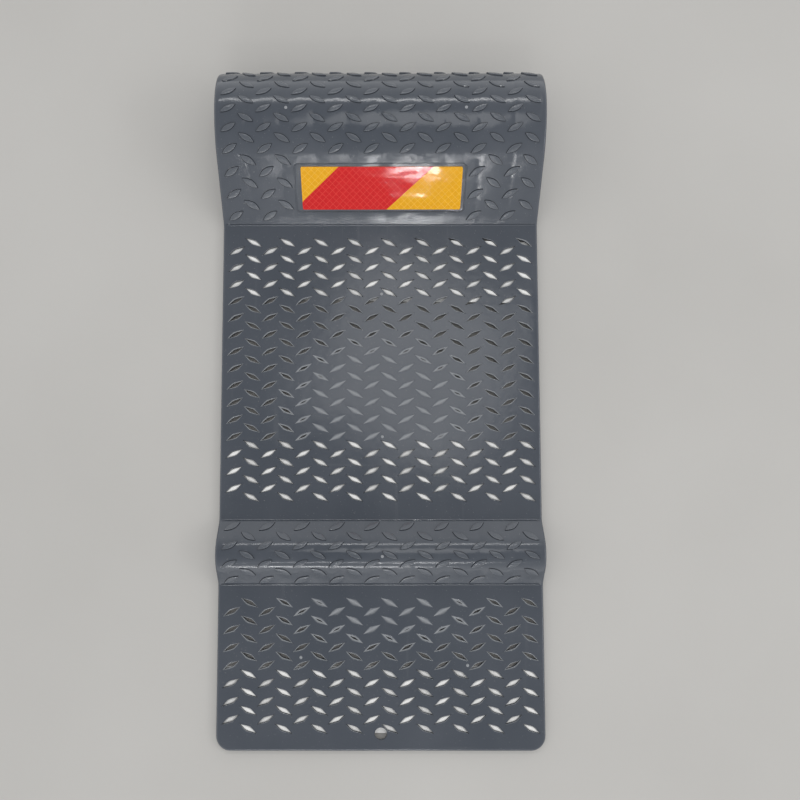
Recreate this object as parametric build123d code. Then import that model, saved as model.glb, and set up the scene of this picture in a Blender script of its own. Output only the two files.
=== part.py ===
"""Garage parking mat: a moulded plastic mat that tells a driver where to stop.

The front wheel rolls over the low front hump, rests on the flat wheel bay and stops against
the high rear hump. One thin moulding carries a reflective label on the stop face, and three
strips of double-sided tape, still on their release liners, hold it to the garage floor.

Millimetres. Each shape is drawn with Y as the station, the distance behind the front edge,
and is moved on export so that the origin is on the floor at the middle of the footprint:
+X to the right, +Y to the rear, +Z up.
"""

import os
from math import cos, radians, sin, tan

from build123d import *

# Moulding: overall size and walls
WIDTH = 267.0
LENGTH = 559.0
CORNER_RADIUS = 12.0
DECK_TOP = 5.0  # top face of the two flat panels
WALL = 3.0
RIB_THICKNESS = 2.0
RIB_PITCH = WIDTH / 10

# Front hump, the bump that the wheel rolls over
BUMP_STATION = 159.0
BUMP_RISE = 15.8
BUMP_RADIUS = 20.0
BUMP_SLOPE = 41.0  # degrees

# Rear hump, the stop: a gentle crest towards the wheel and a quarter round behind it
STOP_RISE = 47.5
STOP_FRONT_RADIUS = 60.7
STOP_REAR_RADIUS = 43.0
STOP_SLOPE = 38.3  # degrees
STOP_STATION = LENGTH - STOP_REAR_RADIUS

# Bead along each crease where a hump leaves the deck
BEAD_WIDTH = 1.4
BEAD_HEIGHT = 0.6

# Tread: lozenges in a grid whose neighbouring columns slope opposite ways, half a pitch apart
TREAD_PITCH = 14.33
TREAD_COLUMNS = 18
FIRST_ROW = 17.9  # station of row 0
LOZENGE_HALF_LENGTH = 7.9
RAISED_HALF_LENGTH = 7.2  # the raised lozenges on the humps are shorter than the openings
LOZENGE_HALF_WIDTH = 2.2
LOZENGE_SKEW = 0.85  # how far each blunt corner stands off the middle, towards one tip
LOZENGE_ANGLE = 29.0  # degrees
RAISED_ANGLE = 26.5  # degrees
LOZENGE_RISE = 1.0
FRONT_DECK_ROWS = range(0, 15)
BUMP_ROWS = range(17, 24)
BUMP_ROWS_SHIFT = -2.2  # these rows sit nearer the front edge than the grid
BAY_ROWS = range(26, 57)
STOP_ROWS = range(59, 76)
ROWS_BESIDE_LABEL = range(59, 65)  # these keep only the columns outside the label's frame

# Hanging and fixing hole
HOLE_STATION = 13.8
HOLE_RADIUS = 5.0

# Reflective label and the raised frame around it, on the stop's front slope
LABEL_LENGTH = 132.0
LABEL_WIDTH = 35.0
LABEL_THICKNESS = 0.4
LABEL_STATION = 458.5
LABEL_OFFSET = 1.0  # to the right of the middle
RED_THICKNESS = 0.1
RED_BAND_LENGTH = 77.2  # along the label's long side
RED_BAND_START = -7.1  # from the label's left end, at its lower side
RED_BAND_ANGLE = 42.6  # degrees from the label's long side
FRAME_LENGTH = 139.0
FRAME_WIDTH = 38.5
FRAME_RADIUS = 3.0
FRAME_LINE = 1.2
FRAME_RISE = 0.6

# Double-sided tape strips in the recess under the deck, and the liner on their lower face
TAPE_LENGTH = 256.0
TAPE_WIDTH = 53.5
TAPE_THICKNESS = 1.8
LINER_THICKNESS = 0.2
TAPES = {  # name: (station of the middle, degrees anticlockwise seen from above)
    "front": (40.0, 0.0),
    "middle": (224.4, 0.0),
    "rear": (395.9, -1.2),
}

TALL = DECK_TOP + STOP_RISE + 20  # higher than anything
BITE = 1.0  # how deep an added detail starts inside the wall it stands on


def foot_reach(rise, radius, slope):
    """From a hump's crest to the foot of its straight flank, along Y."""
    angle = radians(slope)
    crest_drop = radius * (1 - cos(angle))
    return radius * sin(angle) + (rise - crest_drop) / tan(angle)


BUMP_FRONT_FOOT = BUMP_STATION - foot_reach(BUMP_RISE, BUMP_RADIUS, BUMP_SLOPE)
BUMP_REAR_FOOT = BUMP_STATION + foot_reach(BUMP_RISE, BUMP_RADIUS, BUMP_SLOPE)
STOP_FOOT = STOP_STATION - foot_reach(STOP_RISE, STOP_FRONT_RADIUS, STOP_SLOPE)


def outline(inset, bottom=0.0):
    """The mat's side view as a face in YZ, moved inwards from the outer skin by inset."""
    deck = DECK_TOP - inset
    rear = LENGTH - inset
    bump_in = inset * tan(radians(BUMP_SLOPE / 2))
    stop_in = inset * tan(radians(STOP_SLOPE / 2))

    bump_centre = DECK_TOP + BUMP_RISE - BUMP_RADIUS
    bump_radius = BUMP_RADIUS - inset
    bump_across = bump_radius * sin(radians(BUMP_SLOPE))
    bump_up = bump_centre + bump_radius * cos(radians(BUMP_SLOPE))

    crest = DECK_TOP + STOP_RISE - inset
    stop_centre = DECK_TOP + STOP_RISE - STOP_FRONT_RADIUS
    stop_radius = STOP_FRONT_RADIUS - inset
    stop_start = STOP_STATION - stop_radius * sin(radians(STOP_SLOPE))
    stop_up = stop_centre + stop_radius * cos(radians(STOP_SLOPE))
    half_slope = radians(STOP_SLOPE / 2)
    stop_mid = (
        STOP_STATION - stop_radius * sin(half_slope),
        stop_centre + stop_radius * cos(half_slope),
    )
    rear_radius = STOP_REAR_RADIUS - inset
    rear_centre = DECK_TOP + STOP_RISE - STOP_REAR_RADIUS
    rear_mid = (
        STOP_STATION + rear_radius * sin(radians(45)),
        rear_centre + rear_radius * cos(radians(45)),
    )

    edges = [
        Polyline(
            (rear, rear_centre),
            (rear, bottom),
            (inset, bottom),
            (inset, deck),
            (BUMP_FRONT_FOOT + bump_in, deck),
            (BUMP_STATION - bump_across, bump_up),
        ),
        ThreePointArc(
            (BUMP_STATION - bump_across, bump_up),
            (BUMP_STATION, bump_centre + bump_radius),
            (BUMP_STATION + bump_across, bump_up),
        ),
        Polyline(
            (BUMP_STATION + bump_across, bump_up),
            (BUMP_REAR_FOOT - bump_in, deck),
            (STOP_FOOT + stop_in, deck),
            (stop_start, stop_up),
        ),
        ThreePointArc((stop_start, stop_up), stop_mid, (STOP_STATION, crest)),
        ThreePointArc((STOP_STATION, crest), rear_mid, (rear, rear_centre)),
    ]
    return Plane.YZ * make_face(Curve() + edges)


def prism(inset, bottom=0.0):
    """The side view carried across the width, trimmed to the rounded footprint."""
    across = extrude(outline(inset, bottom), WIDTH, both=True)
    footprint = RectangleRounded(
        WIDTH - 2 * inset, LENGTH - 2 * inset, CORNER_RADIUS - inset
    )
    column = extrude(Pos(0, LENGTH / 2, bottom) * footprint, TALL)
    return across & column


def lozenge(rising, half_length, angle):
    """One tread lozenge; rising ones climb towards +X."""
    corners = [
        (-half_length, 0),
        (-LOZENGE_SKEW, LOZENGE_HALF_WIDTH),
        (half_length, 0),
        (LOZENGE_SKEW, -LOZENGE_HALF_WIDTH),
    ]
    shape = Rot(0, 0, angle) * make_face(Polyline(*corners, close=True))
    return shape if rising else mirror(shape, Plane.YZ)


def tread(rows, bottom, top, raised=False):
    """Upright columns of lozenge section for some rows of the grid."""
    half_length = RAISED_HALF_LENGTH if raised else LOZENGE_HALF_LENGTH
    angle = RAISED_ANGLE if raised else LOZENGE_ANGLE
    shapes = {rising: lozenge(rising, half_length, angle) for rising in (True, False)}
    places = []
    for row in rows:
        rising = row % 2 == 1
        shift = BUMP_ROWS_SHIFT if row in BUMP_ROWS else 0
        station = FIRST_ROW + row * TREAD_PITCH / 2 + shift
        first_column = 0 if rising else 1
        for column in range(first_column, TREAD_COLUMNS, 2):
            x = (column - (TREAD_COLUMNS - 1) / 2) * TREAD_PITCH
            full_row = row not in ROWS_BESIDE_LABEL
            if full_row or abs(x) > FRAME_LENGTH / 2:
                places.append(Pos(x, station, bottom) * shapes[rising])
    return extrude(Sketch() + places, top - bottom)


def ribs():
    """Lengthwise ribs under both humps, from the skin down to the floor."""
    spans = [(BUMP_FRONT_FOOT, BUMP_REAR_FOOT), (STOP_FOOT, LENGTH)]
    count = round(WIDTH / RIB_PITCH) - 1
    plates = []
    for start, end in spans:
        for index in range(count):
            x = (index - (count - 1) / 2) * RIB_PITCH
            middle = Pos(x, (start + end) / 2, TALL / 2)
            plates.append(middle * Box(RIB_THICKNESS, end - start, TALL))
    return Part() + plates


def slope_plane(lift):
    """Plane of the stop's front slope at the label, lift above the skin."""
    angle = radians(STOP_SLOPE)
    climb = (LABEL_STATION - STOP_FOOT) * tan(angle)
    skin = Plane(
        origin=(0, LABEL_STATION, DECK_TOP + climb),
        x_dir=(1, 0, 0),
        z_dir=(0, -sin(angle), cos(angle)),
    )
    return skin.offset(lift)


def label_frame():
    """Thin raised line around the label."""
    outer = RectangleRounded(
        FRAME_LENGTH + 2 * FRAME_LINE,
        FRAME_WIDTH + 2 * FRAME_LINE,
        FRAME_RADIUS + FRAME_LINE,
    )
    inner = RectangleRounded(FRAME_LENGTH, FRAME_WIDTH, FRAME_RADIUS)
    return extrude(slope_plane(-BITE) * (outer - inner), BITE + FRAME_RISE)


def crease_beads():
    """Small straight bead at each line where a hump leaves the deck."""
    length = WIDTH - 2 * WALL
    height = BITE + BEAD_HEIGHT
    feet = [BUMP_FRONT_FOOT, BUMP_REAR_FOOT, STOP_FOOT]
    middle_height = DECK_TOP + BEAD_HEIGHT - height / 2
    beads = [
        Pos(0, foot, middle_height) * Box(length, BEAD_WIDTH, height) for foot in feet
    ]
    return Part() + beads


def mat_body():
    """The one-piece moulding: skin, skirt, hollow humps, ribs, tread and label frame."""
    body = prism(0) - (prism(WALL, bottom=-BITE) - ribs())

    raised_skin = prism(-LOZENGE_RISE) - prism(BITE)
    footprint = RectangleRounded(WIDTH, LENGTH, CORNER_RADIUS)
    raised_skin &= extrude(Pos(0, LENGTH / 2, 0) * footprint, TALL)
    bump_tread = raised_skin & tread(BUMP_ROWS, DECK_TOP, TALL, raised=True)
    stop_tread = raised_skin & tread(STOP_ROWS, DECK_TOP, TALL, raised=True)
    body = body + bump_tread + stop_tread + label_frame() + crease_beads()

    body -= tread(FRONT_DECK_ROWS, 0, DECK_TOP + BITE)
    body -= tread(BAY_ROWS, 0, DECK_TOP + BITE)
    return body - Pos(0, HOLE_STATION, 0) * Cylinder(HOLE_RADIUS, TALL)


def reflective_film():
    """The amber reflective sheet of the label."""
    sheet = Pos(LABEL_OFFSET, 0) * Rectangle(LABEL_LENGTH, LABEL_WIDTH)
    return extrude(slope_plane(0) * sheet, LABEL_THICKNESS)


def red_overlay():
    """Transparent red film over the middle of the amber sheet, cut as a slanting band."""
    lean = LABEL_WIDTH / tan(radians(RED_BAND_ANGLE))
    band = [
        (RED_BAND_START, 0),
        (RED_BAND_START + RED_BAND_LENGTH, 0),
        (RED_BAND_START + RED_BAND_LENGTH + lean, LABEL_WIDTH),
        (RED_BAND_START + lean, LABEL_WIDTH),
    ]
    corner = Pos(LABEL_OFFSET - LABEL_LENGTH / 2, -LABEL_WIDTH / 2)
    shape = corner * make_face(Polyline(*band, close=True))
    shape &= Pos(LABEL_OFFSET, 0) * Rectangle(LABEL_LENGTH, LABEL_WIDTH)
    return extrude(slope_plane(LABEL_THICKNESS) * shape, RED_THICKNESS)


def strip(place, bottom, thickness):
    """One layer of a tape strip."""
    station, turn = TAPES[place]
    layer = Pos(0, station, bottom) * Rot(0, 0, turn) * Rectangle(TAPE_LENGTH, TAPE_WIDTH)
    return extrude(layer, thickness)


def save(node, shape):
    """Write one node, with the origin moved to the middle of the footprint."""
    placed = Pos(0, -LENGTH / 2, 0) * shape
    export_step(placed, f"parts/{node}.step")


os.makedirs("parts", exist_ok=True)
save("mat_body", mat_body())
save("reflective_film", reflective_film())
save("red_overlay", red_overlay())
for name in TAPES:
    save(f"tape_strip_{name}", strip(name, LINER_THICKNESS, TAPE_THICKNESS))
    save(f"release_liner_{name}", strip(name, 0, LINER_THICKNESS))
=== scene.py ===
from math import cos, hypot, pi, radians, sin, tan

import bpy
import numpy as np
from mathutils import Euler, Matrix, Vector
from mathutils.geometry import delaunay_2d_cdt


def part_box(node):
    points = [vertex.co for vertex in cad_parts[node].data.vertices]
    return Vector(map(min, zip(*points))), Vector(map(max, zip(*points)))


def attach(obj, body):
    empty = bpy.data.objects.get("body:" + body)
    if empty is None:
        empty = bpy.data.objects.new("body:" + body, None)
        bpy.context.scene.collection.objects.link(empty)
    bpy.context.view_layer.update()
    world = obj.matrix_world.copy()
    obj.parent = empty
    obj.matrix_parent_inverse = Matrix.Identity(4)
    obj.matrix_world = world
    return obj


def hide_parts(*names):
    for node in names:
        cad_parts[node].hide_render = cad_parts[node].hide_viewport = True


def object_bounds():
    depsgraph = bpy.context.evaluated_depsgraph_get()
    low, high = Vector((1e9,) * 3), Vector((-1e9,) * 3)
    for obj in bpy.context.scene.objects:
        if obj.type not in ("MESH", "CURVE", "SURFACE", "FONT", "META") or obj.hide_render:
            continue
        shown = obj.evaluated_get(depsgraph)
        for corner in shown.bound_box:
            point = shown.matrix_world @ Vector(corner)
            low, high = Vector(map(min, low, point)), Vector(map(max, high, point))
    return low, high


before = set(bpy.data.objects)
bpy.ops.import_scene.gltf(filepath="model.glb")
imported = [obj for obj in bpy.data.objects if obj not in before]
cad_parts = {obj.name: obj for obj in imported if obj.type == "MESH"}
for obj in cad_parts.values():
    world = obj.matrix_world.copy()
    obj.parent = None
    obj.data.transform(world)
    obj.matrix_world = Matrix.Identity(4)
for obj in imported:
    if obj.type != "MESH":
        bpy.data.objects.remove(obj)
cad_low, cad_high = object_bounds()

# Lengths are in millimetres, and a station is the distance behind the mat's front edge.
MM = 0.001
WIDTH = (cad_high.x - cad_low.x) / MM
LENGTH = (cad_high.y - cad_low.y) / MM

# Moulding
DECK_TOP = 5.0
WALL = 3.0
CORNER_RADIUS = 12.0
RIM_RADIUS = 2.0
RIM_LINES = (0.15, 0.6, 1.2, RIM_RADIUS)  # rows of points round the rounded rim
EDGE_CHAMFER = 0.4
SIDE_DRAFT = 1.5  # how far the side walls lean in at the rear hump's crest
SHARP_ANGLE = radians(38)  # edges that turn further than this are shaded as sharp
RIB_THICKNESS = 2.0
RIB_COUNT = 9
RIB_PITCH = WIDTH / (RIB_COUNT + 1)

# Front hump
BUMP_STATION = 159.0
BUMP_RISE = 15.8
BUMP_RADIUS = 20.0
BUMP_SLOPE = radians(41.0)

# Rear hump
STOP_RISE = 47.5
STOP_FRONT_RADIUS = 60.7
STOP_REAR_RADIUS = 43.0
STOP_SLOPE = radians(38.3)
STOP_STATION = LENGTH - STOP_REAR_RADIUS

# Tread grid
TREAD_PITCH = 14.33
TREAD_COLUMNS = 18
FIRST_ROW = 17.9
LOZENGE_ANGLE = radians(29.0)
RAISED_ANGLE = radians(26.5)
LOZENGE_SKEW = 0.85
SIDE_POINTS = 6  # segments along each of a lozenge's four sides
FRONT_DECK_ROWS = range(0, 15)
BUMP_ROWS = range(17, 24)
BUMP_ROWS_SHIFT = -2.2  # these rows sit nearer the front edge than the grid
BAY_ROWS = range(26, 57)
STOP_ROWS = range(59, 76)
ROWS_BESIDE_LABEL = range(59, 65)
# Rings of a raised lozenge and of an opening: half length, half width, lift above the skin
RAISED_RINGS = (
    (7.4, 2.6, 0.0),
    (6.95, 2.25, -0.18),
    (6.75, 2.1, 0.45),
    (6.5, 1.9, 0.85),
    (6.0, 1.5, 0.97),
)
RAISED_FULLNESS = 0.8  # raised lozenges have blunter tips than the openings
# Painted light on a raised lozenge's rings: painted shade in the groove round the foot, a
# painted highlight along the upper edge, and a top a little paler, partly painted light and
# partly rougher worn plastic.
RAISED_PAINTED_LIGHT = (-1.0, -0.5, 1.4, 0.45)  # dark round the foot, pale along the upper edge
OPENING_FULLNESS = 0.22
OPENING_RINGS = ((8.6, 2.6, 0.0), (8.4, 2.42, 0.1), (8.25, 2.28, 0.02))
# The lip inside an opening and the upper edge of its straight wall below, where it is clear,
# where the tape swells into it, and where moulding flash has nearly closed it
CLEAR_EDGES = ((7.8, 1.85, -0.1), (6.8, 1.5, -0.7))
TAPE_EDGES = ((8.2, 2.24, -0.1), (8.15, 2.2, -0.4))
FLASH_EDGES = ((7.8, 0.3, 0.0), (2.2, 0.12, -0.15))
# Where flash narrows the openings: x and station of the middle, half sizes, and the shares of
# those sizes at which the openings begin to open and are fully open
BAY_FLASH = (0, 280, 95, 72, 0.5, 1.05)
FRONT_FLASH = (5, 118, 105, 45, 0.35, 1.05)
CLOSED_SHARE = 0.1  # openings less open than this are closed
# How strongly highlights are painted on the rims, lips and flash, as colour paler than the skin
RIM_HIGHLIGHT = 0.6
LIP_HIGHLIGHT = 4.5
# Marks of the injection gates: x and station of the middle, and the radius and lift of each ring
GATES = (
    (-75, 512.8),
    (68, 512.8),
    (1, 374.6),
    (1.5, 254),
    (1.3, 157.7),
    (-65, 74.4),
    (70.7, 68),
)
GATE_RINGS = ((1.2, -0.3), (1.25, 0.1), (0.9, 0.35), (0.4, 0.45))
GATE_POINTS = 12

# How deep the cooled plastic has sunk, in mm: along a rib, between ribs, and round the tread
BUMP_SINK = (0.12, 0.1, 0.03)
STOP_SINK = (0.16, 0.14, 0.06)
RIB_GROOVE_WIDTH = 1.7
PINCH_DEPTH = 0.2  # hollows between the ribs just above the stop's foot
RIPPLE_DEPTH = 0.05
FINE_DEPTH = 0.015
FRAME_SWELL = 0.08  # how high the skin swells along the label frame's upper edge

# Loose points of a sheet: their spacing across the humps, and the room that they keep clear
HUMP_POINT_PITCH = 5.0
CLEAR_OF_LOZENGE = (9.2, 3.6)
CLEAR_OF_FOOT = 2.2
CLEAR_OF_HOLE = 1.5
CLEAR_OF_FRAME = 3.0

# Label on the rear hump's front slope
LABEL_LENGTH = 132.0
LABEL_WIDTH = 35.0
LABEL_STATION = 458.5
LABEL_OFFSET = 1.0
LABEL_CORNER = 0.8
FILM_THICKNESS = 0.4
FILM_BITE = 0.3  # how far the film's lower face lies under the skin
WAVE_RISE = 0.12  # how far bubbles and ripples lift the film
WAVE_ROOM = 0.13  # how much lower the film lies where it has none
RED_THICKNESS = 0.1
RED_BITE = 0.05
FILM_ROWS = 31
FILM_COLUMNS = 110
RED_BAND_LENGTH = 77.2
RED_BAND_START = -7.1
RED_BAND_ANGLE = radians(42.6)
LATTICE_CELL = 4.0
# Air bubbles under the film: middle along and up the label, half sizes, share of the rise
LABEL_BUBBLES = (
    (24.0, 7.5, 9.0, 5.5, 0.65),
    (2.0, 9.0, 16.0, 1.6, 0.3),
    (-9.0, -8.5, 4.6, 2.6, 0.35),
    (15.0, -8.0, 8.0, 3.4, 0.4),
    (32.0, -9.0, 6.5, 3.6, 0.55),
    (30.0, 3.0, 4.0, 1.6, 0.3),
    (-35.0, -11.0, 9.0, 2.0, 0.2),
    (47.0, 6.0, 6.0, 2.4, 0.2),
)
FRAME_LENGTH = 139.0
FRAME_WIDTH = 38.5
FRAME_RADIUS = 3.0
FRAME_LINE = 1.2
FRAME_RISE = 0.55

# Cross sections of the crease beads and the frame line: share of the width, share of the height
BEAD_PROFILE = ((0, 0), (0.2, 0.7), (0.5, 1), (0.8, 0.7), (1, 0))
FRAME_PROFILE = ((1, 0), (0.7, 1), (0.3, 1), (0, 0))
BEAD_WIDTH = 1.4
BEAD_HEIGHT = 0.5
HOLE_STATION = 13.8
HOLE_RADIUS = 5.0
HOLE_POINTS = 32
HOLE_ROUND = 0.12
HOLE_RINGS = ((HOLE_RADIUS + 0.03, -0.06), (HOLE_RADIUS, -0.2))  # radius, lift

# Tape strips
TAPE_SIZE = (256.0, 53.5)
TAPE_TURNS = {"front": 0.0, "middle": 0.0, "rear": radians(-1.2)}
TAPE_CRINKLE = 0.1
LINER_CRINKLE = 0.03
TAPE_RAGGED = 0.25  # how far the cut long edges wander
# The soft foam swells up into the openings in rings: half length, half width, share of the rise
MOUND_RISE = 2.3
MOUND_RINGS = ((8.1, 2.15, -0.2), (8.05, 2.1, 0.65), (7.4, 1.7, 0.88), (5.5, 0.9, 1.0))


def foot_reach(rise, radius, slope):
    """From a hump's crest to the foot of its straight flank, along Y."""
    return radius * sin(slope) + (rise - radius * (1 - cos(slope))) / tan(slope)


BUMP_REACH = foot_reach(BUMP_RISE, BUMP_RADIUS, BUMP_SLOPE)
BUMP_FRONT_FOOT = BUMP_STATION - BUMP_REACH
BUMP_REAR_FOOT = BUMP_STATION + BUMP_REACH
STOP_FOOT = STOP_STATION - foot_reach(STOP_RISE, STOP_FRONT_RADIUS, STOP_SLOPE)

# A path position s is the station up to the last tread row, and then follows the rear round
TURN = FIRST_ROW + STOP_ROWS[-1] * TREAD_PITCH / 2
TURN_ANGLE = np.arcsin((TURN - STOP_STATION) / STOP_REAR_RADIUS)
TURN_RATE = 1 / (STOP_REAR_RADIUS * cos(TURN_ANGLE))
PATH_END = TURN + (pi / 2 - TURN_ANGLE) / TURN_RATE


# ------------------------------------------------------------ the mat's surface


def skin_line(s):
    """Station, height and lean of the normal (from vertical, rearwards) at path position s."""
    s = np.asarray(s, float)
    y, z, lean = s.copy(), np.full_like(s, DECK_TOP), np.zeros_like(s)

    across = s - BUMP_STATION
    turn = BUMP_RADIUS * sin(BUMP_SLOPE)
    flank = (np.abs(across) < BUMP_REACH) & (np.abs(across) >= turn)
    z[flank] += (BUMP_REACH - np.abs(across[flank])) * tan(BUMP_SLOPE)
    lean[flank] = np.sign(across[flank]) * BUMP_SLOPE
    crown = np.abs(across) < turn
    lean[crown] = np.arcsin(across[crown] / BUMP_RADIUS)
    z[crown] += BUMP_RISE - BUMP_RADIUS * (1 - np.cos(lean[crown]))

    across = s - STOP_STATION
    turn = -STOP_FRONT_RADIUS * sin(STOP_SLOPE)
    slope = (s > STOP_FOOT) & (across < turn)
    z[slope] += (s[slope] - STOP_FOOT) * tan(STOP_SLOPE)
    lean[slope] = -STOP_SLOPE
    front = (across >= turn) & (across < 0)
    lean[front] = np.arcsin(across[front] / STOP_FRONT_RADIUS)
    z[front] += STOP_RISE - STOP_FRONT_RADIUS * (1 - np.cos(lean[front]))
    rear = (across >= 0) & (s <= TURN)
    lean[rear] = np.arcsin(across[rear] / STOP_REAR_RADIUS)
    beyond = s > TURN
    lean[beyond] = np.minimum(TURN_ANGLE + (s[beyond] - TURN) * TURN_RATE, pi / 2)
    back = across >= 0
    z[back] += STOP_RISE - STOP_REAR_RADIUS * (1 - np.cos(lean[back]))
    y[beyond] = STOP_STATION + STOP_REAR_RADIUS * np.sin(lean[beyond])
    return y, z, lean


def path_of(angle):
    """Path position where the rear round leans by angle."""
    if angle <= TURN_ANGLE:
        return STOP_STATION + STOP_REAR_RADIUS * sin(angle)
    return TURN + (angle - TURN_ANGLE) / TURN_RATE


def rim_drop(x, y):
    """How far the rounded rim lowers the skin. The rear edge is round already."""
    out = np.abs(x) - (WIDTH / 2 - CORNER_RADIUS)
    ahead, behind = CORNER_RADIUS - y, y - (LENGTH - CORNER_RADIUS)
    depth = np.minimum(WIDTH / 2 - np.abs(x), y)
    weight = np.ones_like(x)
    for past in (ahead, behind):
        corner = (out > 0) & (past > 0)
        reach = np.hypot(out, past)
        depth = np.where(corner, CORNER_RADIUS - reach, depth)
        if past is behind:
            share = (out / np.maximum(reach, 1e-6)) ** 2
            weight = np.where(corner, share, weight)
    inward = np.clip(RIM_RADIUS - depth, 0, RIM_RADIUS)
    return weight * (RIM_RADIUS - np.sqrt(RIM_RADIUS**2 - inward**2))


def sink(x, s):
    """How far the cooled plastic has sunk over the ribs and round the tread, and in ripples."""
    bump = np.clip((BUMP_REACH - np.abs(s - BUMP_STATION)) / 5, 0, 1)
    stop = np.clip((s - STOP_FOOT) / 8, 0, 1)
    to_rib = np.abs((x / RIB_PITCH + 0.5) % 1 - 0.5) * RIB_PITCH
    groove = np.exp(-((to_rib / RIB_GROOVE_WIDTH) ** 2))
    bulge = 0.5 + 0.5 * np.cos(2 * pi * x / RIB_PITCH)
    climb = np.clip((s - STOP_FOOT - 0.5) / 9, 0, 1)
    pinch = np.sin(pi * climb) ** 2 * (1 - groove)
    ripple = np.sin(x / 19 + s / 27) + np.sin(x / 33 - s / 15) + 2
    tread = 1 + np.cos(pi * x / TREAD_PITCH + 0.9) * np.cos(2 * pi * s / TREAD_PITCH)
    fine = np.sin(x / 5.3 + 2 * np.sin(s / 17)) * np.sin(s / 6.1 + np.sin(x / 11)) + 1
    frame_top = LABEL_STATION + (FRAME_WIDTH / 2 + FRAME_LINE) * cos(STOP_SLOPE)
    beside = 1 / (1 + np.exp((np.abs(x) - FRAME_LENGTH / 2 - 2) / 1.5))
    swell = np.exp(-(((s - frame_top) / 2.6) ** 2)) * beside * (1.1 + 0.5 * np.sin(x / 4.1))

    def hump(depths):
        return depths[0] * groove + depths[1] * bulge + depths[2] * tread

    return (
        bump * hump(BUMP_SINK)
        + stop * hump(STOP_SINK)
        + PINCH_DEPTH * pinch
        + RIPPLE_DEPTH * ripple
        + FINE_DEPTH * fine
        - FRAME_SWELL * swell
    )


def place(x, s, lift, rim=True, uneven=True):
    """Points in metres for path positions, lift above the outer skin along its normal."""
    x, s = np.asarray(x, float), np.asarray(s, float)
    lift = np.broadcast_to(np.asarray(lift, float), x.shape)
    y, z, lean = skin_line(s)
    if uneven:
        lift = lift - sink(x, s) * np.clip(1 + lift / WALL, 0, 1)
    if rim:
        z = z - rim_drop(x, y)
    y = np.minimum(y + lift * np.sin(lean), LENGTH)
    z = z + lift * np.cos(lean)
    drawn_in = SIDE_DRAFT * np.clip((z - DECK_TOP) / STOP_RISE, 0, 1)
    x = x * (1 - drawn_in / (WIDTH / 2) * (2 * x / WIDTH) ** 4)
    return np.stack([x, y - LENGTH / 2, z], axis=-1) * MM


def skin_normals(x, s):
    """Unit normals of the uneven outer skin."""
    step = 0.4
    along_x = place(x + step, s, 0) - place(x - step, s, 0)
    along_s = place(x, s + step, 0) - place(x, s - step, 0)
    normal = np.cross(along_x, along_s)
    return normal / np.linalg.norm(normal, axis=1, keepdims=True)


# ------------------------------------------------------------ lozenges


def lozenge_loop(half_length, half_width, fullness):
    """Anticlockwise loop of a lozenge along its own axis, with drawn-out or full tips."""
    steps = np.arange(SIDE_POINTS) / SIDE_POINTS

    def taper(t):
        drawn = 0.55 * (1 - t) + 0.225 * (1 + np.cos(pi * t))
        return drawn * (1 - fullness) + (1 - t**2.2) * fullness

    u, v = [], []
    for sign in (1, -1):
        blunt, tip = -LOZENGE_SKEW * sign, half_length * sign
        for end, t in ((tip, 1 - steps), (-tip, steps)):
            u.append(blunt + (end - blunt) * t)
            v.append(sign * half_width * taper(t))
    return np.concatenate(u), np.concatenate(v)


def lozenge_at(x, s, rising, half_length, half_width, fullness, angle=LOZENGE_ANGLE):
    """A lozenge loop in plan about a point; falling ones are mirrored."""
    u, v = lozenge_loop(half_length, half_width, fullness)
    across = u * cos(angle) - v * sin(angle)
    along = u * sin(angle) + v * cos(angle)
    if not rising:
        # Starting at the mirrored tip keeps the loop anticlockwise from a tip
        across, along = -np.roll(across[::-1], 1), np.roll(along[::-1], 1)
    return x + across, s + along


def tread_places(rows):
    """Middle and slope of each lozenge in some rows of the grid."""
    for row in rows:
        rising = row % 2 == 1
        shift = BUMP_ROWS_SHIFT if row in BUMP_ROWS else 0
        s = FIRST_ROW + row * TREAD_PITCH / 2 + shift
        for column in range(0 if rising else 1, TREAD_COLUMNS, 2):
            x = (column - (TREAD_COLUMNS - 1) / 2) * TREAD_PITCH
            if row not in ROWS_BESIDE_LABEL or abs(x) > FRAME_LENGTH / 2:
                yield x, s, rising


def smooth(value, start, end):
    """Eased step from 0 at start to 1 at end."""
    t = min(max((value - start) / (end - start), 0), 1)
    return t * t * (3 - 2 * t)


def aperture(x, s):
    """How open an opening is. Thin moulding flash closes those in each panel's middle."""
    flash = BAY_FLASH if s > BUMP_STATION else FRONT_FLASH
    middle_x, middle_s, half_x, half_s, start, end = flash
    return smooth(hypot((x - middle_x) / half_x, (s - middle_s) / half_s), start, end)


# ------------------------------------------------------------ mesh building


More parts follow.
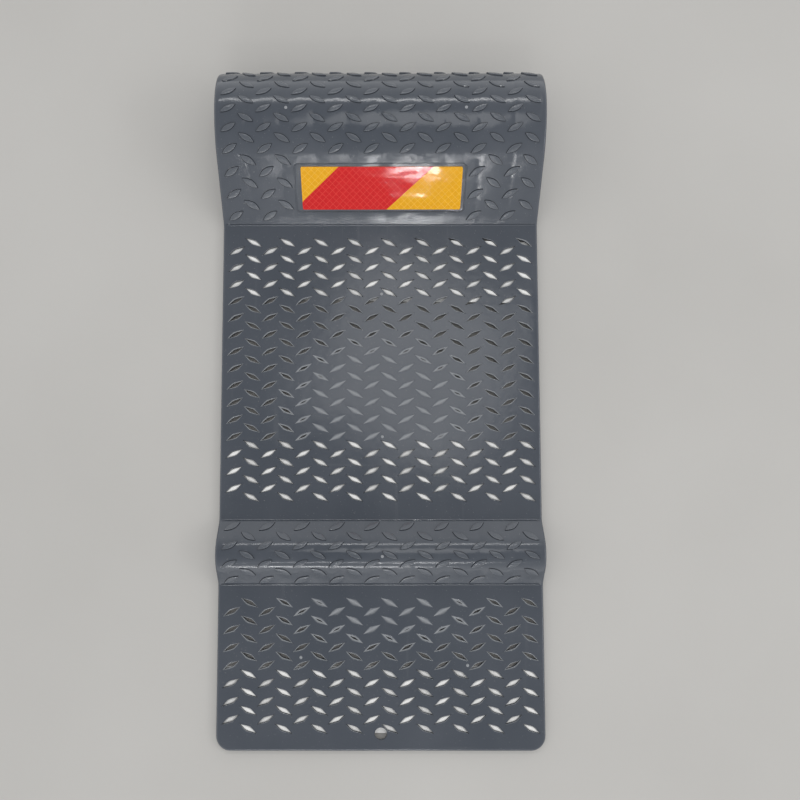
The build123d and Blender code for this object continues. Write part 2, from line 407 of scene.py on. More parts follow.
class Shell:
    """Collects the vertices and faces of one mesh."""

    def __init__(self):
        self.points, self.normals, self.worn, self.faces = [], [], [], []
        self.count = 0

    def add(self, points, normals=None, worn=0.0):
        points = np.asarray(points, float).reshape(-1, 3)
        first = self.count
        self.points.append(points)
        self.worn.append(np.full(len(points), worn))
        self.normals.append(np.zeros_like(points) if normals is None else normals)
        self.count += len(points)
        return list(range(first, self.count))

    def bridge(self, one, other, closed=True):
        """Quads between two loops; anticlockwise from outside to inside they face up."""
        n = len(one)
        for i in range(n if closed else n - 1):
            j = (i + 1) % n
            self.faces.append((one[i], one[j], other[j], other[i]))

    def stack(self, ring, levels, worn=0.0):
        """Carries a loop on through further loops of points, and returns the last one."""
        for points in levels:
            inner = self.add(points, worn=worn)
            self.bridge(ring, inner)
            ring = inner
        return ring

    def ladder(self, loop):
        """Fills a loop that starts at a tip with strips across its long axis."""
        n, half = len(loop), len(loop) // 2
        self.faces.append((loop[0], loop[1], loop[n - 1]))
        for i in range(1, half - 1):
            self.faces.append((loop[i], loop[i + 1], loop[n - i - 1], loop[n - i]))
        self.faces.append((loop[half - 1], loop[half], loop[half + 1]))

    def build(self, name, material):
        mesh = bpy.data.meshes.new(name)
        mesh.from_pydata(np.concatenate(self.points).tolist(), [], self.faces)
        mesh.materials.append(material)
        mesh.shade_smooth()
        mesh.set_sharp_from_angle(angle=SHARP_ANGLE)
        normals = np.concatenate(self.normals)
        if np.abs(normals).max() > 0:
            corners = np.zeros(len(mesh.loops), np.int32)
            mesh.loops.foreach_get("vertex_index", corners)
            mesh.normals_split_custom_set(normals[corners].tolist())
        # worn per vertex: painted highlights above zero, painted shade below zero.
        worn = np.concatenate(self.worn)
        if worn.max() > 0:
            mesh.attributes.new("worn", "FLOAT", "POINT").data.foreach_set("value", worn)
        mesh.update()
        piece = bpy.data.objects.new(name, mesh)
        bpy.context.scene.collection.objects.link(piece)
        return piece


class Plan:
    """A sheet's points, lines and holes in (x, path position), triangulated together."""

    def __init__(self):
        self.x, self.s, self.lift, self.exact = [], [], [], []
        self.edges, self.holes, self.hole_of = [], [], {}

    def line(self, xs, ss, lift=0.0, closed=False, exact=False):
        """Joined points. The normals of exact ones come from the skin's formula."""
        first, n = len(self.x), len(xs)
        self.x.extend(xs)
        self.s.extend(ss)
        self.lift.extend([lift] * n)
        self.exact.extend([exact] * n)
        last = n if closed else n - 1
        self.edges.extend((first + i, first + (i + 1) % n) for i in range(last))
        return list(range(first, first + n))

    def hole(self, xs, ss, exact=False):
        """A closed loop whose inside stays empty."""
        ids = self.line(xs, ss, closed=True, exact=exact)
        for i in ids:
            self.hole_of[i] = len(self.holes)
        self.holes.append(np.stack([xs, ss], axis=1))
        return ids

    def scatter(self, xs, ss):
        """Loose points."""
        self.x.extend(xs)
        self.s.extend(ss)
        self.lift.extend([0.0] * len(xs))
        self.exact.extend([True] * len(xs))

    def triangles(self):
        """Triangles between all points and lines, without those inside the holes."""
        points = np.stack([self.x, self.s], axis=1)
        made, _, faces, origin, _, _ = delaunay_2d_cdt(
            points.tolist(), self.edges, [], 0, 1e-7
        )
        back = [o[0] if o else None for o in origin]
        crossings = [tuple(made[i]) for i, o in enumerate(back) if o is None]
        if crossings:
            raise ValueError(f"two lines of a sheet cross near {crossings[:4]}")
        kept = []
        for face in faces:
            corners = [back[i] for i in face]
            owner = {self.hole_of.get(i, -1) for i in corners}
            if len(owner) == 1 and -1 not in owner:
                if inside(points[corners].mean(axis=0), self.holes[owner.pop()]):
                    continue
            kept.append(tuple(corners))
        return kept

    def add_to(self, shell, base, flip=False, **where):
        """Places the sheet at its lifts above base and returns the vertices' numbers."""
        x, s = np.array(self.x), np.array(self.s)
        exact = np.array(self.exact)[:, None]
        normals = None if flip else skin_normals(x, s) * exact
        ids = shell.add(place(x, s, np.array(self.lift) + base, **where), normals)
        for face in self.triangles():
            face = face[::-1] if flip else face
            shell.faces.append(tuple(ids[i] for i in face))
        return ids


def inside(point, loop):
    """Whether a point lies in a closed loop."""
    x, y = point
    x0, y0 = loop[:, 0], loop[:, 1]
    x1, y1 = np.roll(x0, -1), np.roll(y0, -1)
    spans = (y0 > y) != (y1 > y)
    rise = np.where(y1 == y0, 1, y1 - y0)
    return bool((spans & (x < (x1 - x0) * (y - y0) / rise + x0)).sum() % 2)


def outline(inset, wall=0.0):
    """The footprint's anticlockwise loop in plan, moved inwards, for a skin wall deep."""
    side, radius = WIDTH / 2 - CORNER_RADIUS, CORNER_RADIUS - inset
    corner = np.linspace(0, pi / 2, 9)
    across = np.linspace(-side, side, 72)[1:-1]
    last = LENGTH - CORNER_RADIUS
    stations = np.linspace(CORNER_RADIUS, last, round(LENGTH / 3.2))[1:-1]

    def path(y):
        reach = (y - STOP_STATION) / (STOP_REAR_RADIUS - wall)
        return path_of(np.arcsin(min(reach, 1.0)))

    turn = np.array([path(last + radius * sin(a)) for a in corner])
    runs = (
        (across, np.full_like(across, inset)),
        (side + radius * np.sin(corner), CORNER_RADIUS - radius * np.cos(corner)),
        (np.full_like(stations, side + radius), stations),
        (side + radius * np.cos(corner), turn),
        (across[::-1], np.full_like(across, turn[-1])),
        (-side - radius * np.sin(corner), turn[::-1]),
        (np.full_like(stations, -side - radius), stations[::-1]),
        (-side - radius * np.cos(corner), CORNER_RADIUS - radius * np.sin(corner)),
    )
    return np.concatenate([r[0] for r in runs]), np.concatenate([r[1] for r in runs])


def background(plan, margin, step_flat, step_hump, openings, raised, framed=False):
    """Loose points clear of every lozenge, closer together on the humps."""
    flat = np.arange(margin, LENGTH, step_flat)
    curved = np.arange(margin, PATH_END - 1.5, step_hump)

    def on_hump(s):
        return (np.abs(s - BUMP_STATION) < BUMP_REACH) | (s > STOP_FOOT)

    rows = np.concatenate([flat[~on_hump(flat)], curved[on_hump(curved)]])
    feet = (BUMP_FRONT_FOOT, BUMP_REAR_FOOT, STOP_FOOT)
    spots = openings + raised
    mids = np.array([(x, s) for x, s, _ in spots])
    for number, s in enumerate(rows):
        if min(abs(s - foot) for foot in feet) < CLEAR_OF_FOOT:
            continue
        pitch = HUMP_POINT_PITCH if on_hump(s) else step_flat
        # Fewer points reach the sides where the rear corners round off
        reach = WIDTH / 2 - margin - (max(0, s - LENGTH + 14) * 1.6)
        xs = np.arange(-reach, reach, pitch) + (number % 2) * pitch / 2
        clear = np.ones_like(xs, bool)
        near = np.flatnonzero(np.abs(mids[:, 1] - s) < 7)
        for k in near:
            x0, s0, rising = spots[k]
            dx, ds = xs - x0, s - s0
            turn = LOZENGE_ANGLE if rising else -LOZENGE_ANGLE
            u = dx * cos(turn) + ds * sin(turn)
            v = -dx * sin(turn) + ds * cos(turn)
            clear &= (np.abs(u) > CLEAR_OF_LOZENGE[0]) | (np.abs(v) > CLEAR_OF_LOZENGE[1])
        clear &= np.hypot(xs, s - HOLE_STATION) > HOLE_RADIUS + CLEAR_OF_HOLE
        frame_reach = (FRAME_WIDTH / 2 + CLEAR_OF_FRAME) * cos(STOP_SLOPE)
        if framed and abs(s - LABEL_STATION) < frame_reach:
            clear &= np.abs(xs) > FRAME_LENGTH / 2 + CLEAR_OF_FRAME
        plan.scatter(xs[clear], np.full(clear.sum(), s))


def rounded_rectangle(length, width, radius):
    """Anticlockwise loop of a rounded rectangle, with points along its sides."""
    xs, ys = [], []
    for quarter in range(4):
        turn = quarter * pi / 2
        sx = 1 if quarter in (0, 3) else -1
        sy = 1 if quarter < 2 else -1
        cx, cy = sx * (length / 2 - radius), sy * (width / 2 - radius)
        angles = np.linspace(turn, turn + pi / 2, 5)
        xs.extend(cx + radius * np.cos(angles))
        ys.extend(cy + radius * np.sin(angles))
        run = (length if quarter % 2 == 0 else width) - 2 * radius
        ahead = (-sin(turn + pi / 2), cos(turn + pi / 2))
        for step in np.linspace(0, run, round(run / 4))[1:-1]:
            xs.append(cx + radius * cos(turn + pi / 2) + ahead[0] * step)
            ys.append(cy + radius * sin(turn + pi / 2) + ahead[1] * step)
    return np.array(xs), np.array(ys)


def top_sheet(openings, raised):
    """Plan of the outer skin with its beads and label frame, and its holes' loops."""
    plan = Plan()
    rim = plan.line(*outline(0), closed=True)
    for depth in RIM_LINES:
        x, s = outline(depth)
        rear = np.flatnonzero(s > LENGTH - 8)
        order = np.roll(np.arange(len(x)), -(rear[-1] + 1))[: len(x) - len(rear)]
        plan.line(x[order], s[order], exact=True)

    xs = np.arange(-WIDTH / 2 + 3, WIDTH / 2 - 2.9, 3)
    for foot, way in ((BUMP_FRONT_FOOT, -1), (BUMP_REAR_FOOT, 1), (STOP_FOOT, -1)):
        for share, height in BEAD_PROFILE:
            s = foot + way * BEAD_WIDTH * share
            plan.line(xs, np.full_like(xs, s), BEAD_HEIGHT * height)

    for share, height in FRAME_PROFILE:
        grow = FRAME_LINE * share
        x, v = rounded_rectangle(
            FRAME_LENGTH + 2 * grow, FRAME_WIDTH + 2 * grow, FRAME_RADIUS + grow
        )
        s = LABEL_STATION + v * cos(STOP_SLOPE)
        plan.line(x, s, FRAME_RISE * height, closed=True)

    loops = {"opening": [], "raised": []}
    for kind, places, ring, fullness, angle in (
        ("opening", openings, OPENING_RINGS[0], OPENING_FULLNESS, LOZENGE_ANGLE),
        ("raised", raised, RAISED_RINGS[0], RAISED_FULLNESS, RAISED_ANGLE),
    ):
        for x, s, rising in places:
            loop = lozenge_at(x, s, rising, *ring[:2], fullness, angle)
            loops[kind].append(plan.hole(*loop, exact=True))
    angles = np.arange(HOLE_POINTS) * 2 * pi / HOLE_POINTS
    hole = plan.hole(
        (HOLE_RADIUS + HOLE_ROUND) * np.cos(angles),
        HOLE_STATION + (HOLE_RADIUS + HOLE_ROUND) * np.sin(angles),
        exact=True,
    )
    background(plan, 4.5, TREAD_PITCH / 2, 2.4, openings, raised, framed=True)
    return plan, rim, loops, hole, angles


def tape_middle(name):
    """Station of the middle of a tape strip."""
    low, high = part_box(f"tape_strip_{name}")
    return (low[1] + high[1]) / 2 / MM + LENGTH / 2


TAPE_MIDDLES = {name: tape_middle(name) for name in TAPE_TURNS}


def on_tape(x, s):
    """Whether a tape strip covers a place."""
    reach = TAPE_SIZE[1] / 2 - 1
    return any(
        abs(s - middle - x * tan(TAPE_TURNS[name])) < reach
        for name, middle in TAPE_MIDDLES.items()
    )


def inner_edges(x, s, rising):
    """Loops and lifts of an opening's lip and of the upper edge of its straight wall."""
    taped = on_tape(x, s)
    share = 1 if taped else aperture(x, s)
    wide_open = TAPE_EDGES if taped else CLEAR_EDGES
    wander = 0.14 * sin(x * 1.7 + s * 2.3) * (1.1 - share)
    edges = []
    for tight, wide in zip(FLASH_EDGES, wide_open):
        half_length, half_width, lift = (t + (w - t) * share for t, w in zip(tight, wide))
        half_length *= 1 + wander
        middle = x + wander / 2
        loop = lozenge_at(middle, s, rising, half_length, half_width, OPENING_FULLNESS)
        edges.append((*loop, lift))
        wander = wander / 2
    return edges


def underside(openings, angles):
    """Plan of the skin's underside, with its outline and the loops of its holes."""
    plan = Plan()
    skirt = plan.line(*outline(WALL, WALL), closed=True)
    bottoms = []
    for x, s, rising in openings:
        closed = aperture(x, s) < CLOSED_SHARE and not on_tape(x, s)
        _, (xs, ss, _) = inner_edges(x, s, rising)
        bottoms.append(None if closed else plan.hole(xs, ss))
    hole = plan.hole(HOLE_RADIUS * np.cos(angles), HOLE_STATION + HOLE_RADIUS * np.sin(angles))
    xs = np.arange(9 - WIDTH / 2, WIDTH / 2 - 8, 12)
    for foot in (BUMP_FRONT_FOOT, BUMP_REAR_FOOT, STOP_FOOT):
        for way in (-0.05, 0.05):
            plan.line(xs, np.full_like(xs, foot + way))
    background(plan, 9.0, TREAD_PITCH, 6.0, openings, [])
    return plan, skirt, bottoms, hole


def add_opening(shell, x, s, rising, rim, bottom):
    """An opening's rounded rim and lip, then its wall down to bottom or the flash across it."""
    rings = (
        place(*lozenge_at(x, s, rising, *size, OPENING_FULLNESS), lift)
        for *size, lift in OPENING_RINGS[1:]
    )
    # The rounded rim rings and the lip rings carry painted highlights. Flash that nearly closes
    # an opening gets the lip's painted highlight along its edges.
    ring = shell.stack(rim, rings, RIM_HIGHLIGHT)
    edges = inner_edges(x, s, rising)
    ring = shell.stack(ring, (place(*edge) for edge in edges), LIP_HIGHLIGHT)
    if bottom is None:
        shell.ladder(ring)
    else:
        xs, ss, lift = edges[-1]
        throat = shell.stack(ring, [place(xs, ss, lift - 0.1)])
        shell.bridge(throat, bottom)


def add_raised(shell, x, s, rising, ring):
    """A raised lozenge: a shallow groove round its foot, then its side, edge and top."""
    # The rings carry painted light: painted shade in the groove, a painted highlight along the
    # upper edge, a slightly paler top.
    for (*size, lift), worn in zip(RAISED_RINGS[1:], RAISED_PAINTED_LIGHT):
        loop = lozenge_at(x, s, rising, *size, RAISED_FULLNESS, RAISED_ANGLE)
        ring = shell.stack(ring, [place(*loop, lift)], worn)
    shell.ladder(ring)


def add_gate(shell, x, s):
    """The small closed dome that an injection gate leaves."""
    turns = np.arange(GATE_POINTS) * 2 * pi / GATE_POINTS
    levels = [
        place(x + radius * np.cos(turns), s + radius * np.sin(turns), lift)
        for radius, lift in GATE_RINGS
    ]
    # The dome is painted pale: partly a painted highlight, partly stress-whitened plastic.
    foot = shell.add(levels[0], worn=LIP_HIGHLIGHT)
    shell.faces.append(tuple(foot[::-1]))
    shell.faces.append(tuple(shell.stack(foot, levels[1:], LIP_HIGHLIGHT)))


def add_skirt(shell, rim, inner_top):
    """Down the outside to a small chamfer, across the bottom and up the inside."""
    inner_edge = np.concatenate(shell.points)[inner_top]
    low = shell.add(upright(0, EDGE_CHAMFER))
    floor = shell.add(upright(EDGE_CHAMFER, 0))
    inner_foot = shell.add(inner_edge * (1, 1, 0))
    shell.bridge(low, rim)
    shell.bridge(floor, low)
    shell.bridge(inner_foot, floor)
    shell.bridge(inner_top, inner_foot)


def mat_moulding(material):
    """The whole moulding: skin, openings, raised lozenges, skirt, underside and ribs."""
    openings = list(tread_places(FRONT_DECK_ROWS)) + list(tread_places(BAY_ROWS))
    raised = list(tread_places(BUMP_ROWS)) + list(tread_places(STOP_ROWS))
    shell = Shell()

    upper, rim, loops, hole, angles = top_sheet(openings, raised)
    top = upper.add_to(shell, 0)
    lower, skirt, bottoms, under_hole = underside(openings, angles)
    under = lower.add_to(shell, -WALL, flip=True, rim=False, uneven=False)

    for spot, loop, bottom in zip(openings, loops["opening"], bottoms):
        floor_loop = None if bottom is None else [under[i] for i in bottom]
        add_opening(shell, *spot, [top[i] for i in loop], floor_loop)
    for spot, loop in zip(raised, loops["raised"]):
        add_raised(shell, *spot, [top[i] for i in loop])
    for x, s in GATES:
        add_gate(shell, x, s)

    rings = (
        place(radius * np.cos(angles), HOLE_STATION + radius * np.sin(angles), lift)
        for radius, lift in HOLE_RINGS
    )
    ring = shell.stack([top[i] for i in hole], rings)
    shell.bridge(ring, [under[i] for i in under_hole])

    add_skirt(shell, [top[i] for i in rim], [under[i] for i in skirt])
    for start, end in ((BUMP_FRONT_FOOT, BUMP_REAR_FOOT), (STOP_FOOT, PATH_END)):
        ss = np.linspace(start + 2, end - 0.6, round((end - start) / 3))
        for index in range(RIB_COUNT):
            rib(shell, (index - (RIB_COUNT - 1) / 2) * RIB_PITCH, ss)
    return shell.build("mat_moulding", material)


def upright(inset, height):
    """The footprint's loop at a height, below the leaning side walls."""
    x, s = outline(inset)
    y = np.minimum(skin_line(s)[0], LENGTH - inset) - LENGTH / 2
    return np.stack([x, y, np.full_like(x, height)], axis=-1) * MM


def rib(shell, x, ss):
    """One upright plate from the underside of the skin to the floor."""
    half = RIB_THICKNESS / 2
    sides = []
    for across in (x - half, x + half):
        xs = np.full_like(ss, across)
        upper = place(xs, ss, -WALL + 0.5, rim=False, uneven=False)
        sides.append((shell.add(upper), shell.add(upper * (1, 1, 0))))
    (left_top, left_foot), (right_top, right_foot) = sides
    section = (left_foot, right_foot, right_top, left_top)
    for one, other in zip(section, section[1:] + section[:1]):
        shell.bridge(one, other, closed=False)
    shell.faces.append(tuple(run[0] for run in section))
    shell.faces.append(tuple(run[-1] for run in section[::-1]))


# ------------------------------------------------------------ thin sheets


def slab(shell, xs, ys, lower, upper, put):
    """A closed sheet over a grid of plan points, from lower to upper height."""
    over, under = (
        np.reshape(shell.add(put(xs.ravel(), ys.ravel(), level.ravel())), xs.shape)
        for level in (upper, lower)
    )
    for r in range(len(xs) - 1):
        shell.bridge(over[r].tolist(), over[r + 1].tolist(), closed=False)
        shell.bridge(under[r + 1].tolist(), under[r].tolist(), closed=False)
    edges = (
        (over[0], under[0]),
        (over[:, -1], under[:, -1]),
        (over[-1][::-1], under[-1][::-1]),
        (over[::-1, 0], under[::-1, 0]),
    )
    for above, beneath in edges:
        shell.bridge(beneath.tolist(), above.tolist(), closed=False)


def on_slope(x, v, lift):
    """Points on the rear hump's straight front slope, v up the slope from the label."""
    s = LABEL_STATION + v * cos(STOP_SLOPE)
    y, z, lean = skin_line(s)
    y = y + lift * np.sin(lean)
    return np.stack([x, y - LENGTH / 2, z + lift * np.cos(lean)], axis=-1) * MM


def label_waves(x, v):
    """Bubbles and ripples of the stuck-down film, from 0 to 1."""
    broad = np.sin(x / 9 + 1.3 * np.sin(v / 8)) * np.sin(v / 7 + 0.8)
    fine = np.sin(x / 3.1 + v / 4.7) * np.sin(v / 2.9 - x / 8.3)
    wave = 0.18 + 0.1 * broad + 0.04 * fine
    for centre_x, centre_v, across, up, height in LABEL_BUBBLES:
        off = np.hypot((x - centre_x) / across, (v - centre_v) / up)
        wave = wave + height / (1 + off**6)
    return np.clip(wave, 0, 1)


def film_grid(left, right):
    """Points across the label between two ends, each a function of the height up the label."""
    up = np.linspace(0, LABEL_WIDTH, FILM_ROWS)
    share = np.linspace(0, 1, FILM_COLUMNS)
    along = left(up)[:, None] + (right(up) - left(up))[:, None] * share
    v = np.broadcast_to(up[:, None], along.shape) - LABEL_WIDTH / 2
    return LABEL_OFFSET - LABEL_LENGTH / 2 + along, v


def corner_cut(v):
    """How far the label's rounded corners pull its ends in."""
    depth = np.clip(LABEL_CORNER - np.minimum(v, LABEL_WIDTH - v), 0, LABEL_CORNER)
    return LABEL_CORNER - np.sqrt(LABEL_CORNER**2 - depth**2)


def film_top(x, v):
    """Lift of the amber film's wavy upper face."""
    return FILM_THICKNESS - WAVE_ROOM + WAVE_RISE * label_waves(x, v)


def label_film(material):
    """The amber film, with rounded corners."""
    shell = Shell()
    x, v = film_grid(corner_cut, lambda up: LABEL_LENGTH - corner_cut(up))
    slab(shell, x, v, np.full_like(x, -FILM_BITE), film_top(x, v), on_slope)
    return shell.build("label_amber_film", material)


def label_overlay(material):
    """The red film: a slanted band over the amber one, cut off at the label's ends."""

    def slant(start):
        def at(up):
            along = start + up / tan(RED_BAND_ANGLE)
            return np.clip(along, corner_cut(up), LABEL_LENGTH - corner_cut(up))

        return at

    shell = Shell()
    x, v = film_grid(slant(RED_BAND_START), slant(RED_BAND_START + RED_BAND_LENGTH))
    top = film_top(x, v)
    slab(shell, x, v, top - RED_BITE, top + RED_THICKNESS, on_slope)
    return shell.build("label_red_overlay", material)


def flat_points(centre_x, centre_y, turn):
    """A function that puts flat points about a centre, turned in plan."""

    def put(x, y, z):
        px = centre_x + x * cos(turn) - y * sin(turn)
        py = centre_y + x * sin(turn) + y * cos(turn)
        return np.stack([px, py, z], axis=-1) * MM

    return put


def tape_layers(place_name, turn, tape, liner):
    """A foam tape strip and the liner below it, in the boxes of their CAD solids."""
    length, width = TAPE_SIZE
    u, w = np.meshgrid(np.linspace(-0.5, 0.5, 65), np.linspace(-0.5, 0.5, 13))
    ragged = TAPE_RAGGED * (1 + np.sin(u * 71 + w * 3)) / 2
    x = u * (length - 0.5 + 0.2 * np.sin(w * 9))
    y = w * (width - 0.2 - 2 * ragged)
    wave = (np.sin(x / 6 + y / 9) * np.sin(y / 5 - x / 17) + 1) / 2
    rounding = 0.25 * np.clip(1 - (0.5 - np.maximum(np.abs(u), np.abs(w))) * 40, 0, 1)

    made = []
    for node, material, crinkle in (
        (f"tape_strip_{place_name}", tape, TAPE_CRINKLE),
        (f"release_liner_{place_name}", liner, LINER_CRINKLE),
    ):
        low, high = (np.array(corner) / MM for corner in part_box(node))
        middle = (low + high) / 2
        upper = high[2] - crinkle * wave - rounding * (high[2] - low[2]) * 0.6
        shell = Shell()
        put = flat_points(middle[0], middle[1], turn)
        slab(shell, x, y, np.full_like(x, low[2]), upper, put)
        if material is tape:
            tape_mounds(shell, middle[1] + LENGTH / 2, turn, high[2])
        piece = shell.build(node + "_layer", material)
        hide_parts(node)
        made.append(piece)
    return made


def tape_mounds(shell, station, turn, top):
    """The soft foam swells a little way up into the openings above it."""
    reach = TAPE_SIZE[1] / 2 - 0.3
    for x, s, rising in (*tread_places(FRONT_DECK_ROWS), *tread_places(BAY_ROWS)):
        if abs(s - station - x * tan(turn)) > TAPE_SIZE[1] / 2 - 1:
            continue
        swell = MOUND_RISE * (0.8 + 0.2 * sin(x * 0.9 + s * 1.3))
        levels = []
        for *size, share in MOUND_RINGS:
            xs, ss = lozenge_at(x, s, rising, *size, OPENING_FULLNESS)
            middle = station + xs * tan(turn)
            ss = np.clip(ss, middle - reach, middle + reach)
            height = np.full_like(xs, top + swell * share)
            levels.append(np.stack([xs, ss - LENGTH / 2, height], axis=-1) * MM)
        ring = shell.stack(shell.add(levels[0]), levels[1:])
        shell.ladder(ring)


# ------------------------------------------------------------ materials


class Nodes:
    """A short way to write a procedural material's nodes."""

    def __init__(self, name):
        self.material = bpy.data.materials.new(name)
        self.material.use_nodes = True
        self.tree = self.material.node_tree
        self.shader = self.tree.nodes["Principled BSDF"]
        self.where = self.add("ShaderNodeTexCoord").outputs["Object"]

    def add(self, kind, inputs=None, **settings):
        """A new node; inputs are values or other nodes' sockets."""
        node = self.tree.nodes.new(kind)
        for key, value in settings.items():
            setattr(node, key, value)
        for key, value in (inputs or {}).items():
            self.feed(node.inputs[key], value)
        return node

    def feed(self, socket, value):
        if isinstance(value, bpy.types.NodeSocket):
            self.tree.links.new(value, socket)
        else:
            socket.default_value = value

    def noise(self, scale, detail=3.0, rough=0.5, vector=None):
        inputs = {"Vector": vector or self.where, "Scale": scale, "Detail": detail}
        return self.add("ShaderNodeTexNoise", {**inputs, "Roughness": rough}).outputs["Fac"]

    def ramp(self, value, low, high, to_low=0.0, to_high=1.0):
        """A value stretched from one range to another, and held at its ends."""
        inputs = {0: value, 1: low, 2: high, 3: to_low, 4: to_high}
        return self.add("ShaderNodeMapRange", inputs).outputs[0]

    def math(self, kind, one, other=0.0):
        return self.add("ShaderNodeMath", {0: one, 1: other}, operation=kind).outputs[0]

    def mix(self, factor, one, other):
        """One colour, turning into the other as the factor goes from 0 to 1."""
        node = self.add("ShaderNodeMix", data_type="RGBA")
        self.feed(node.inputs[0], factor)
        self.feed(node.inputs[6], one)
        self.feed(node.inputs[7], other)
        return node.outputs[2]

    def bump(self, height, strength, distance, normal=None):
        inputs = {"Height": height, "Strength": strength, "Distance": distance}
        if normal:
            inputs["Normal"] = normal
        return self.add("ShaderNodeBump", inputs).outputs["Normal"]

    def stretch(self, x, y, z, turn=0.0):
        """Object coordinates scaled and turned, for long marks."""
        inputs = {"Vector": self.where, "Scale": (x, y, z), "Rotation": (0, 0, turn)}
        return self.add("ShaderNodeMapping", inputs).outputs["Vector"]

    def set(self, **inputs):
        """Feeds the shader's inputs and returns the finished material."""
        for key, value in inputs.items():
            self.feed(self.shader.inputs[key.replace("_", " ")], value)
        return self.material


def grey_plastic():
    """Glossy slate-grey plastic with flow marks, scuffs and dust, with painted highlights on
    rims, lips and tread edges and painted shade round the tread feet.
    """
    n = Nodes("glossy_grey_plastic")
    cloud = n.ramp(n.noise(14, 4), 0.35, 0.7)
    colour = n.mix(cloud, (0.066, 0.077, 0.096, 1), (0.081, 0.092, 0.112, 1))
    flow = n.ramp(n.noise(9, 5, 0.6, n.stretch(3, 0.6, 1)), 0.5, 0.75, 0, 0.35)
    colour = n.mix(flow, colour, (0.088, 0.100, 0.118, 1))
    speck = n.ramp(n.noise(900, 1), 0.73, 0.78, 0, 0.35)
    colour = n.mix(speck, colour, (0.32, 0.32, 0.31, 1))
    lengthwise = n.ramp(n.noise(130, 2, 0.6, n.stretch(1, 0.06, 1, 0.5)), 0.66, 0.74)
    crosswise = n.ramp(n.noise(120, 2, 0.6, n.stretch(0.07, 1, 1, 0.3)), 0.68, 0.76)
    scuff = n.math("MAXIMUM", lengthwise, crosswise)
    colour = n.mix(n.math("MULTIPLY", scuff, 0.07), colour, (0.2, 0.21, 0.22, 1))
    rough = n.ramp(n.noise(22, 4, 0.6), 0.3, 0.75, 0.1, 0.19)
    rough = n.math("ADD", rough, n.math("MULTIPLY", scuff, 0.06))
    worn = n.add("ShaderNodeAttribute", attribute_name="worn").outputs["Fac"]
    highlight_share = n.math("MAXIMUM", worn, 0.0)
    # Painted highlight: where worn is positive, rims, lips, flash, gate domes and tread edges
    # turn paler and rougher.
    colour = n.mix(n.math("MULTIPLY", highlight_share, 0.2), colour, (0.32, 0.335, 0.355, 1))
    # Painted shade: where worn is negative, round the feet of the raised lozenges, the colour
    # darkens towards near-black.
    colour = n.mix(n.math("MULTIPLY", worn, -0.7), colour, (0.012, 0.014, 0.018, 1))
    rough = n.math("ADD", rough, n.math("MULTIPLY", highlight_share, 0.1))
    lumps = n.bump(n.noise(380, 3), n.math("MINIMUM", highlight_share, 0.6), 0.0006)
    grain = n.bump(n.noise(1500, 2), 0.08, 0.0002, lumps)
    peel = n.bump(n.noise(160, 2), 0.12, 0.0006, grain)
    return n.set(Base_Color=colour, Roughness=rough, Normal=peel)


def sheeting(name, dark, light, seam):
    """Prismatic reflective sheeting: small diamond cells parted by paler seams."""
    n = Nodes(name)
    parts = n.add("ShaderNodeSeparateXYZ", {"Vector": n.where})
    up = n.math("DIVIDE", parts.outputs["Y"], cos(STOP_SLOPE))
    size = LATTICE_CELL * MM
    lines = []
    for kind in ("ADD", "SUBTRACT"):
        run = n.math("DIVIDE", n.math(kind, parts.outputs["X"], up), size * 2**0.5)
        off = n.math("ABSOLUTE", n.math("SUBTRACT", n.math("FRACT", run), 0.5))
        lines.append(n.ramp(off, 0.44, 0.5))
    line = n.math("MAXIMUM", *lines)
    cell = n.ramp(n.noise(420, 3), 0.3, 0.7)
    fleck = n.ramp(n.noise(1400, 2), 0.35, 0.65)
    colour = n.mix(n.math("MULTIPLY", cell, fleck), dark, light)
    colour = n.mix(n.math("MULTIPLY", line, 0.5), colour, seam)
    rough = n.ramp(n.noise(60, 3), 0.3, 0.7, 0.05, 0.09)
    bump = n.bump(line, 0.02, 0.0002)
    bump = n.bump(n.noise(90, 3), 0.05, 0.0006, bump)
    return n.set(Base_Color=colour, Roughness=rough, Normal=bump, IOR=1.38)


def foam_tape():
    """Matt white closed-cell foam."""
    n = Nodes("white_foam_tape")
    pores = n.add("ShaderNodeTexVoronoi", {"Vector": n.where, "Scale": 900.0})
    pore = n.ramp(pores.outputs["Distance"], 0.1, 0.5)
    colour = n.mix(pore, (0.84, 0.84, 0.82, 1), (0.92, 0.92, 0.91, 1))
    colour = n.mix(n.ramp(n.noise(12, 4), 0.4, 0.8, 0, 0.2), colour, (0.80, 0.78, 0.74, 1))
    rough = n.ramp(n.noise(40, 3), 0.3, 0.7, 0.55, 0.75)
    return n.set(Base_Color=colour, Roughness=rough, Normal=n.bump(pore, 0.12, 0.0002))


def liner_paper():
    """Pale waxed release paper with faint fibres."""
    n = Nodes("liner_paper")
    fibre = n.noise(300, 4, 0.6, n.stretch(1, 4, 1))
    colour = n.mix(n.ramp(fibre, 0.3, 0.7), (0.74, 0.69, 0.58, 1), (0.86, 0.82, 0.72, 1))
    rough = n.ramp(n.noise(80, 3), 0.3, 0.7, 0.42, 0.6)
    return n.set(Base_Color=colour, Roughness=rough, Normal=n.bump(fibre, 0.2, 0.0001))


def floor_material():
    """Plain pale studio floor."""
    n = Nodes("pale_floor")
    cloud = n.ramp(n.noise(3, 5), 0.3, 0.7)
    colour = n.mix(cloud, (0.52, 0.51, 0.49, 1), (0.57, 0.56, 0.54, 1))
    fine = n.noise(260, 4, 0.6)
    rough = n.ramp(fine, 0.3, 0.7, 0.7, 0.85)
    return n.set(Base_Color=colour, Roughness=rough, Normal=n.bump(fine, 0.1, 0.0005))


# ------------------------------------------------------------ pieces

moulding = mat_moulding(grey_plastic())
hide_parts("mat_body")

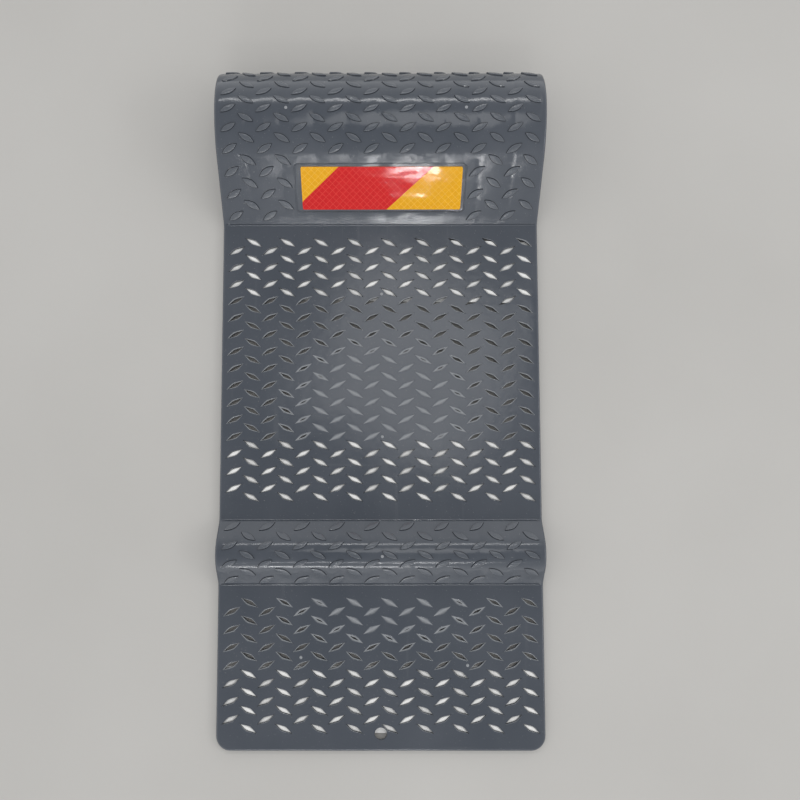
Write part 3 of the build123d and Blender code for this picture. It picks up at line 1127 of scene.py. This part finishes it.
amber = sheeting(
    "amber_sheeting",
    dark=(0.80, 0.375, 0.004, 1),
    light=(0.93, 0.475, 0.006, 1),
    seam=(1.0, 0.68, 0.13, 1),
)
red = sheeting(
    "red_sheeting",
    dark=(0.61, 0.008, 0.010, 1),
    light=(0.72, 0.018, 0.018, 1),
    seam=(0.85, 0.11, 0.08, 1),
)
film = label_film(amber)
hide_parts("reflective_film")
overlay = label_overlay(red)
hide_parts("red_overlay")

tape, liner = foam_tape(), liner_paper()
layers = []
for place_name, turn in TAPE_TURNS.items():
    strip, backing = tape_layers(place_name, turn, tape, liner)
    layers += [strip, backing]

for piece in (moulding, film, overlay, *layers):
    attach(piece, "root")

# ------------------------------------------------------------ floor, light and camera

FLOOR_REACH = 3000.0
FLOOR_THICKNESS = 20.0
floor_shell = Shell()
reach = np.linspace(-FLOOR_REACH, FLOOR_REACH, 25)
floor_x, floor_y = np.meshgrid(reach, reach)
floor_top = np.zeros_like(floor_x)
slab(floor_shell, floor_x, floor_y, floor_top - FLOOR_THICKNESS, floor_top, flat_points(0, 0, 0))
floor = floor_shell.build("floor", floor_material())


def area_light(name, azimuth, elevation, distance, size, power):
    """A soft rectangle of light aimed at the mat. Azimuth 0 stands in front of it, azimuth and
    elevation are in degrees, distance and size in metres, and power in watts."""
    light = bpy.data.lights.new(name, "AREA")
    light.shape = "RECTANGLE"
    light.size, light.size_y = size
    light.energy = power
    lamp = bpy.data.objects.new(name, light)
    a, e = radians(azimuth), radians(elevation)
    toward = Matrix.Rotation(a, 4, "Z") @ Matrix.Rotation(pi / 2 - e, 4, "X")
    lamp.matrix_world = toward @ Matrix.Translation((0, 0, distance))
    bpy.context.scene.collection.objects.link(lamp)


area_light("front_window", 1, 42.9, 2.4, (0.95, 0.03), 2.2)
area_light("glare_window", 5, 40.2, 2.4, (0.2, 0.035), 1.3)
area_light("front_low", -6, 20, 2.6, (0.9, 0.12), 7)
area_light("rear_window", 178, 50, 2.4, (1.5, 0.14), 6)
area_light("side_window", 80, 30, 2.4, (1.2, 0.3), 5)
area_light("overhead_glow", 156, 80, 2.4, (0.8, 0.8), 3.5)

# The room is bright along the horizon and dim overhead
HORIZON_STRENGTH = 1.5
ZENITH_STRENGTH = 0.26
world = bpy.data.worlds.new("studio")
world.use_nodes = True
background_light = world.node_tree.nodes["Background"]
background_light.inputs["Color"].default_value = (1, 1, 1, 1)
world_nodes = world.node_tree.nodes
heading = world_nodes.new("ShaderNodeTexCoord").outputs["Generated"]
height = world_nodes.new("ShaderNodeSeparateXYZ")
world.node_tree.links.new(heading, height.inputs[0])
fade = world_nodes.new("ShaderNodeMapRange")
fade.inputs["To Min"].default_value = HORIZON_STRENGTH
fade.inputs["To Max"].default_value = ZENITH_STRENGTH
world.node_tree.links.new(height.outputs["Z"], fade.inputs["Value"])
world.node_tree.links.new(fade.outputs["Result"], background_light.inputs["Strength"])
bpy.context.scene.world = world

# The camera looks down from just in front of the mat's middle, tilted a little to the rear
CAMERA_PLACE = (-0.00238, -0.04321, 0.57442)
CAMERA_TURN = (radians(4.018), radians(0.058), radians(-0.033))
camera_data = bpy.data.cameras.new("camera")
camera_data.sensor_width = 36
camera_data.lens = 30.77
camera_data.shift_x = 0.02875
camera_data.shift_y = 0.0125
camera_data.dof.use_dof = False
camera = bpy.data.objects.new("camera", camera_data)
turned = Euler(CAMERA_TURN).to_matrix().to_4x4()
camera.matrix_world = Matrix.Translation(CAMERA_PLACE) @ turned
bpy.context.scene.collection.objects.link(camera)
bpy.context.scene.camera = camera

bpy.context.scene.view_settings.view_transform = "Standard"
